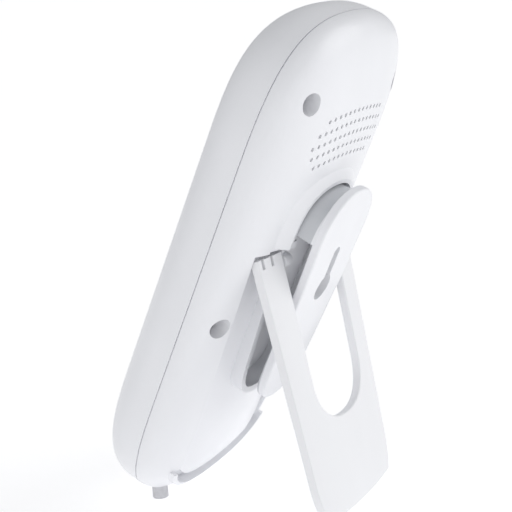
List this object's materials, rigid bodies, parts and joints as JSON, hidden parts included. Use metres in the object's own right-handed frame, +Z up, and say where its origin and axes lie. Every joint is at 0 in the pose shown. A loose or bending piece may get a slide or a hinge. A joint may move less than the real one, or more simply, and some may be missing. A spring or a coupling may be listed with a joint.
{
  "type": "baby monitor receiver",
  "caption": "Hand-held baby monitor receiver with a pill-shaped body, speaker holes, belt clip with a keyhole slot, and a fold-out stand that it leans back on.",
  "frame": {"origin": "middle of the base of the whole object's box, on the surface it stands on", "axes": "+Z up, front face with the keys towards -Y and upward, stand towards +Y, X across the width"},
  "size_m": [0.073, 0.0802, 0.1384],
  "materials": {
    "white_shell": "smooth semi-gloss moulded plastic",
    "white_stand": "smooth semi-gloss moulded plastic",
    "key_plastic": "satin moulded plastic",
    "window_plastic": "clear acrylic, tinted black behind",
    "light_plastic": "milky light pipe",
    "led_plastic": "clear epoxy",
    "lcd_glass": "display glass",
    "inner_plastic": "black moulded plastic",
    "rubber_foot": "light grey rubber",
    "silicone": "silicone rubber",
    "foam": "closed cell foam",
    "board_green": "solder mask on glass epoxy",
    "shield_tin": "tinned steel",
    "screw_steel": "zinc plated steel",
    "pin_steel": "ground steel",
    "spring_steel": "drawn spring wire",
    "magnet_steel": "plated steel pot",
    "cone_paper": "treated paper",
    "mesh_cloth": "fine black mesh",
    "sleeve_film": "shrink film"
  },
  "bodies": {
    "housing": {"front_housing": "white_shell", "rear_housing": "white_shell", "rubber_feet": "rubber_foot", "case_screws": "screw_steel", "board_screws": "screw_steel", "stand_pins": "pin_steel", "clip_pin": "pin_steel", "clip_spring": "spring_steel", "display_window": "window_plastic", "lcd_module": "lcd_glass", "lcd_frame": "inner_plastic", "light_bar": "light_plastic", "level_leds": "led_plastic", "keypad_membrane": "silicone", "tact_switches": "inner_plastic", "main_board": "board_green", "radio_shield": "shield_tin", "antenna": "shield_tin", "speaker_frame": "shield_tin", "speaker_magnet": "magnet_steel", "speaker_cone": "cone_paper", "speaker_gasket": "foam", "dust_mesh": "mesh_cloth", "microphone": "shield_tin", "microphone_boot": "silicone", "battery_cells": "shield_tin", "battery_sleeve": "sleeve_film", "battery_plug": "inner_plastic", "charging_socket": "shield_tin"},
    "stand": {"kickstand": "white_stand"},
    "clip": {"belt_clip": "white_stand"},
    "talk_key_body": {"talk_button": "key_plastic"},
    "nav_up_key_body": {"nav_up_key": "key_plastic"},
    "nav_down_key_body": {"nav_down_key": "key_plastic"},
    "nav_left_key_body": {"nav_left_key": "key_plastic"},
    "nav_right_key_body": {"nav_right_key": "key_plastic"},
    "power_key_body": {"power_button": "key_plastic"}
  },
  "joints": [
    {"name": "stand_fold", "type": "hinge", "parent": "housing", "child": "stand", "pos_m": [0, 0.01684, 0.07157], "axis": [1, 0, 0], "range_deg": [-35.6, 0]},
    {"name": "clip_pivot", "type": "hinge", "parent": "housing", "child": "clip", "pos_m": [0, 0.02086, 0.08353], "axis": [1, 0, 0], "range_deg": [0, 8], "stiffness_Nm_per_rad": 0.6, "springref_deg": -8.59},
    {"name": "talk_press", "type": "slide", "parent": "housing", "child": "talk_key_body", "axis": [0, 0.8965, -0.4431], "range_m": [0, 0.0008], "stiffness_N_per_m": 1500, "springref_m": -0.0004},
    {"name": "nav_up_press", "type": "slide", "parent": "housing", "child": "nav_up_key_body", "axis": [0, 0.8965, -0.4431], "range_m": [0, 0.0008], "stiffness_N_per_m": 1500, "springref_m": -0.0004},
    {"name": "nav_down_press", "type": "slide", "parent": "housing", "child": "nav_down_key_body", "axis": [0, 0.8965, -0.4431], "range_m": [0, 0.0008], "stiffness_N_per_m": 1500, "springref_m": -0.0004},
    {"name": "nav_left_press", "type": "slide", "parent": "housing", "child": "nav_left_key_body", "axis": [0, 0.8965, -0.4431], "range_m": [0, 0.0008], "stiffness_N_per_m": 1500, "springref_m": -0.0004},
    {"name": "nav_right_press", "type": "slide", "parent": "housing", "child": "nav_right_key_body", "axis": [0, 0.8965, -0.4431], "range_m": [0, 0.0008], "stiffness_N_per_m": 1500, "springref_m": -0.0004},
    {"name": "power_press", "type": "slide", "parent": "housing", "child": "power_key_body", "axis": [0, 0.8965, -0.4431], "range_m": [0, 0.0008], "stiffness_N_per_m": 1500, "springref_m": -0.0004}
  ]
}
